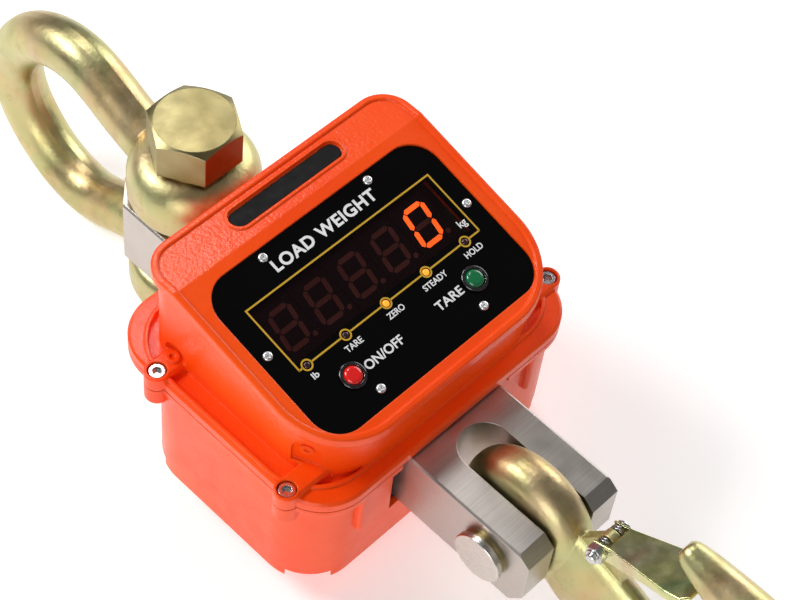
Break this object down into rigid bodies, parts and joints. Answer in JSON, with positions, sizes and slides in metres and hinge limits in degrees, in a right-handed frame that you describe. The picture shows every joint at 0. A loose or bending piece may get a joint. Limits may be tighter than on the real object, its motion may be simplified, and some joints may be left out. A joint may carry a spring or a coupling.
{
  "type": "crane scale",
  "caption": "Hanging crane scale: load bar with swinging lifting shackle and latched eye hook, carrying an orange cast housing with a tilted digital display and push buttons.",
  "frame": {"origin": "centre of the rear rest pad's underside, on the floor under the load line, with the scale lying on its back", "axes": "+Y along the load line towards the lifting shackle, +Z out of the display side, +X to the reader's right"},
  "size_m": [0.2144, 0.6526, 0.1729],
  "materials": {
    "orange_paint": "semi-gloss orange paint on cast aluminium",
    "black_rubber": "matt",
    "zinc_screws": "bright zinc plate",
    "black_panel": "gloss black with printed markings",
    "smoked_window": "smoked red-brown",
    "led_module": "dark face with lit segments",
    "lamp_lens": "amber lens",
    "circuit_board": "green solder mask",
    "brass_posts": "plain",
    "red_key": "gloss",
    "green_key": "gloss",
    "key_ring": "dark chrome",
    "switch_plastic": "matt",
    "window_insert": "rough infrared-clear black",
    "battery_wrap": "shrink wrap",
    "connector": "matt",
    "bar_steel": "ground alloy steel",
    "gauge_foil": "satin",
    "gold_zinc": "yellow zinc plate on forged steel",
    "bolt_zinc": "pale zinc plate",
    "pin_nickel": "turned and nickel plated"
  },
  "bodies": {
    "scale": {"bar_screws": "zinc_screws", "bar_spacers": "gauge_foil", "battery_door": "orange_paint", "battery_pack": "battery_wrap", "board_posts": "brass_posts", "board_screws": "zinc_screws", "charge_cap_pin": "zinc_screws", "charge_socket": "connector", "cover_gasket": "black_rubber", "cover_screws": "zinc_screws", "display_board": "circuit_board", "display_window": "smoked_window", "door_screws": "zinc_screws", "face_panel": "black_panel", "front_cover": "orange_paint", "green_button_ring": "key_ring", "green_button_switch": "switch_plastic", "hook_end_seal": "black_rubber", "hook_pin": "pin_nickel", "indicator_lamps": "lamp_lens", "led_digit_1": "led_module", "led_digit_2": "led_module", "led_digit_3": "led_module", "led_digit_4": "led_module", "led_digit_5": "led_module", "left_gauge_cover": "gauge_foil", "load_cell_bar": "bar_steel", "main_board": "circuit_board", "main_board_posts": "brass_posts", "main_board_screws": "zinc_screws", "panel_screws": "zinc_screws", "pin_circlip": "zinc_screws", "pin_washers": "bolt_zinc", "rear_housing": "orange_paint", "receiver_window": "window_insert", "red_button_ring": "key_ring", "red_button_switch": "switch_plastic", "rest_pad": "black_rubber", "right_gauge_cover": "gauge_foil", "shackle_end_seal": "black_rubber"},
    "shackle": {"shackle_bow": "gold_zinc", "shackle_bolt": "bolt_zinc", "bolt_washer": "bolt_zinc", "split_pin": "zinc_screws"},
    "hook": {"hook_body": "gold_zinc", "latch_bolt": "zinc_screws", "latch_nut": "zinc_screws"},
    "latch": {"hook_latch": "gold_zinc", "latch_spring": "zinc_screws"},
    "red_button": {"red_button_cap": "red_key"},
    "green_button": {"green_button_cap": "green_key"},
    "charge_cap": {"charge_cap": "black_rubber"}
  },
  "joints": [
    {"name": "shackle_swing", "type": "hinge", "parent": "scale", "child": "shackle", "pos_m": [0, 0.13, 0.075], "axis": [0, 0, 1], "range_deg": [-90, 90]},
    {"name": "hook_swing", "type": "hinge", "parent": "scale", "child": "hook", "pos_m": [0, -0.133, 0.075], "axis": [1, 0, 0], "range_deg": [-80, 80]},
    {"name": "latch_open", "type": "hinge", "parent": "hook", "child": "latch", "pos_m": [0, -0.184, 0.1115], "axis": [1, 0, 0], "range_deg": [0, 60], "stiffness_Nm_per_rad": 0.06, "springref_deg": -34.38},
    {"name": "red_button_press", "type": "slide", "parent": "scale", "child": "red_button", "axis": [0, 0.2504, -0.9681], "range_m": [0, 0.0015], "stiffness_N_per_m": 400, "springref_m": -0.001},
    {"name": "green_button_press", "type": "slide", "parent": "scale", "child": "green_button", "axis": [0, 0.2504, -0.9681], "range_m": [0, 0.0015], "stiffness_N_per_m": 400, "springref_m": -0.001},
    {"name": "charge_cap_open", "type": "hinge", "parent": "scale", "child": "charge_cap", "pos_m": [0.105, 0.012, 0.048], "axis": [0, 1, 0], "range_deg": [0, 150]}
  ]
}
